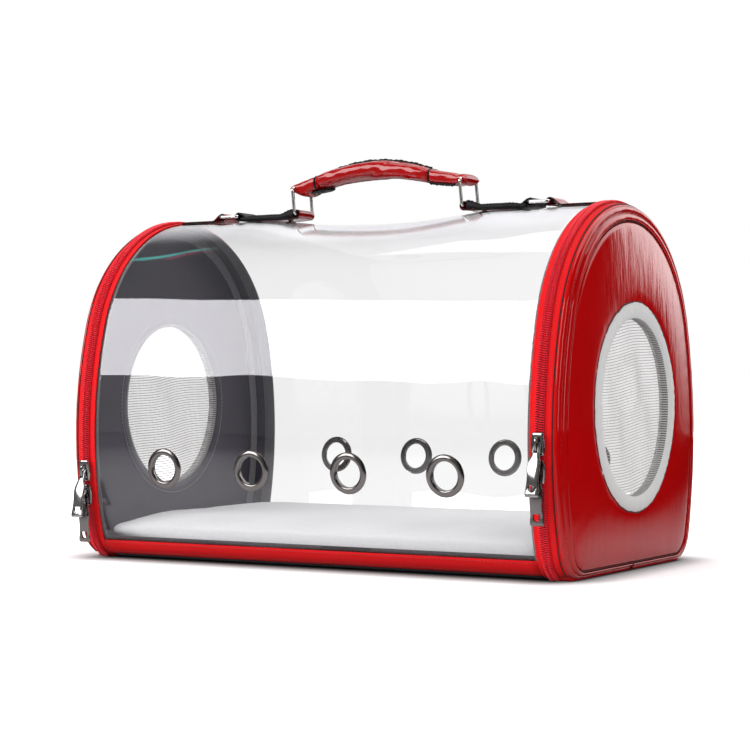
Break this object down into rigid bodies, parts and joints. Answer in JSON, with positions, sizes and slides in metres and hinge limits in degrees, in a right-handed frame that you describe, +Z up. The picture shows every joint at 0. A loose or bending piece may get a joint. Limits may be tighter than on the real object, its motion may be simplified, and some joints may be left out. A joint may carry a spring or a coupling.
{
  "type": "pet carrier bag",
  "caption": "Arched pet handbag carrier: clear sheet body, red patent end doors with oval net windows, zippers and a padded top handle.",
  "frame": {"origin": "middle of the underside, on the floor", "axes": "+X along the length towards the right end door, -Y towards the front wall with the zipper sliders, +Z up"},
  "size_m": [0.4476, 0.2823, 0.3255],
  "materials": {
    "clear_sheet": "clear flexible sheet, glossy",
    "grey_felt": "woven binding",
    "board": "stiff board",
    "red_tape": "woven zipper tape",
    "coil": "moulded coil",
    "white_pad": "textured plush",
    "gunmetal": "dark plated metal",
    "dark_rivet": "dark plated rivet",
    "grey_lining": "plain lining",
    "ring_fabric": "stretched pale fabric",
    "net": "open net",
    "dark_leather": "dark edge-painted leather",
    "red_patent": "glossy patent leather"
  },
  "bodies": {
    "carrier": {"clear_body_sheet": "clear_sheet", "base_cover": "grey_felt", "base_board": "board", "front_bottom_strip": "red_tape", "rear_bottom_strip": "red_tape", "eyelets": "gunmetal", "eyelet_washers": "gunmetal", "left_body_tape": "red_tape", "left_body_coil": "coil", "left_body_binding": "grey_felt", "left_hinge_strip": "red_tape", "left_top_strap": "red_patent", "left_shoulder_ring": "gunmetal", "left_ring_tab": "red_patent", "left_strap_rivets": "dark_rivet", "right_body_tape": "red_tape", "right_body_coil": "coil", "right_body_binding": "grey_felt", "right_hinge_strip": "red_tape", "right_top_strap": "red_patent", "right_shoulder_ring": "gunmetal", "right_ring_tab": "red_patent", "right_strap_rivets": "dark_rivet"},
    "pad": {"floor_pad": "white_pad"},
    "left_door": {"left_door_tape": "red_tape", "left_door_coil": "coil", "left_door_rim": "red_patent", "left_groove_cord": "red_patent", "left_face_panel": "red_patent", "left_face_lining": "grey_lining", "left_lining_binding": "grey_felt", "left_window_ring": "ring_fabric", "left_window_net": "net"},
    "left_ring": {"left_handle_ring": "gunmetal"},
    "right_door": {"right_door_tape": "red_tape", "right_door_coil": "coil", "right_door_rim": "red_patent", "right_groove_cord": "red_patent", "right_face_panel": "red_patent", "right_face_lining": "grey_lining", "right_lining_binding": "grey_felt", "right_window_ring": "ring_fabric", "right_window_net": "net"},
    "right_ring": {"right_handle_ring": "gunmetal"},
    "handle": {"handle_grip": "red_patent", "left_handle_end": "red_patent", "right_handle_end": "red_patent", "handle_tongue": "dark_leather", "handle_rivet": "dark_rivet"},
    "left_upper_slider": {"left_upper_slider": "gunmetal"},
    "left_upper_pull": {"left_upper_pull": "gunmetal"},
    "left_lower_slider": {"left_lower_slider": "gunmetal"},
    "left_lower_pull": {"left_lower_pull": "gunmetal"},
    "right_upper_slider": {"right_upper_slider": "gunmetal"},
    "right_upper_pull": {"right_upper_pull": "gunmetal"},
    "right_lower_slider": {"right_lower_slider": "gunmetal"},
    "right_lower_pull": {"right_lower_pull": "gunmetal"}
  },
  "joints": [
    {"name": "pad_lift", "type": "slide", "parent": "carrier", "child": "pad", "axis": [0, 0, 1], "range_m": [0, 0.05]},
    {"name": "right_door_hinge", "type": "hinge", "parent": "carrier", "child": "right_door", "pos_m": [0.2185, 0, 0.0057], "axis": [0, 1, 0], "range_deg": [0, 88]},
    {"name": "left_door_hinge", "type": "hinge", "parent": "carrier", "child": "left_door", "pos_m": [-0.2185, 0, 0.0057], "axis": [0, -1, 0], "range_deg": [0, 88]},
    {"name": "left_upper_slider_travel", "type": "hinge", "parent": "carrier", "child": "left_upper_slider", "pos_m": [-0.2046, 0.18164, 0.1015], "axis": [-1, 0, 0], "range_deg": [0, 20]},
    {"name": "left_upper_pull_swing", "type": "hinge", "parent": "left_upper_slider", "child": "left_upper_pull", "pos_m": [-0.2046, -0.13668, 0.07143], "axis": [-1, 0, 0], "range_deg": [0, 150]},
    {"name": "left_lower_slider_travel", "type": "hinge", "parent": "carrier", "child": "left_lower_slider", "pos_m": [-0.2046, 0.18164, 0.1015], "axis": [1, 0, 0], "range_deg": [0, 4]},
    {"name": "left_lower_pull_swing", "type": "hinge", "parent": "left_lower_slider", "child": "left_lower_pull", "pos_m": [-0.2046, -0.13417, 0.05155], "axis": [-1, 0, 0], "range_deg": [0, 12]},
    {"name": "right_upper_slider_travel", "type": "hinge", "parent": "carrier", "child": "right_upper_slider", "pos_m": [0.2046, 0.18164, 0.1015], "axis": [-1, 0, 0], "range_deg": [0, 15]},
    {"name": "right_upper_pull_swing", "type": "hinge", "parent": "right_upper_slider", "child": "right_upper_pull", "pos_m": [0.2046, -0.13809, 0.09946], "axis": [-1, 0, 0], "range_deg": [0, 150]},
    {"name": "right_lower_slider_travel", "type": "hinge", "parent": "carrier", "child": "right_lower_slider", "pos_m": [0.2046, 0.18164, 0.1015], "axis": [1, 0, 0], "range_deg": [0, 9]},
    {"name": "right_lower_pull_swing", "type": "hinge", "parent": "right_lower_slider", "child": "right_lower_pull", "pos_m": [0.2046, -0.13735, 0.07958], "axis": [-1, 0, 0], "range_deg": [0, 12]},
    {"name": "left_ring_swing", "type": "hinge", "parent": "carrier", "child": "left_ring", "pos_m": [-0.079, 0, 0.2843], "axis": [0, 1, 0], "range_deg": [-50, 50]},
    {"name": "handle_level", "type": "hinge", "parent": "left_ring", "child": "handle", "pos_m": [-0.08106, 0, 0.3057], "axis": [0, 1, 0], "range_deg": [-50, 50]},
    {"name": "right_ring_swing", "type": "hinge", "parent": "carrier", "child": "right_ring", "pos_m": [0.079, 0, 0.2843], "axis": [0, 1, 0], "range_deg": [-50, 50]}
  ],
  "couplings": [
    {"joint": "handle_level", "follows": "left_ring_swing", "ratio": -1},
    {"joint": "right_ring_swing", "follows": "left_ring_swing", "ratio": 1}
  ]
}
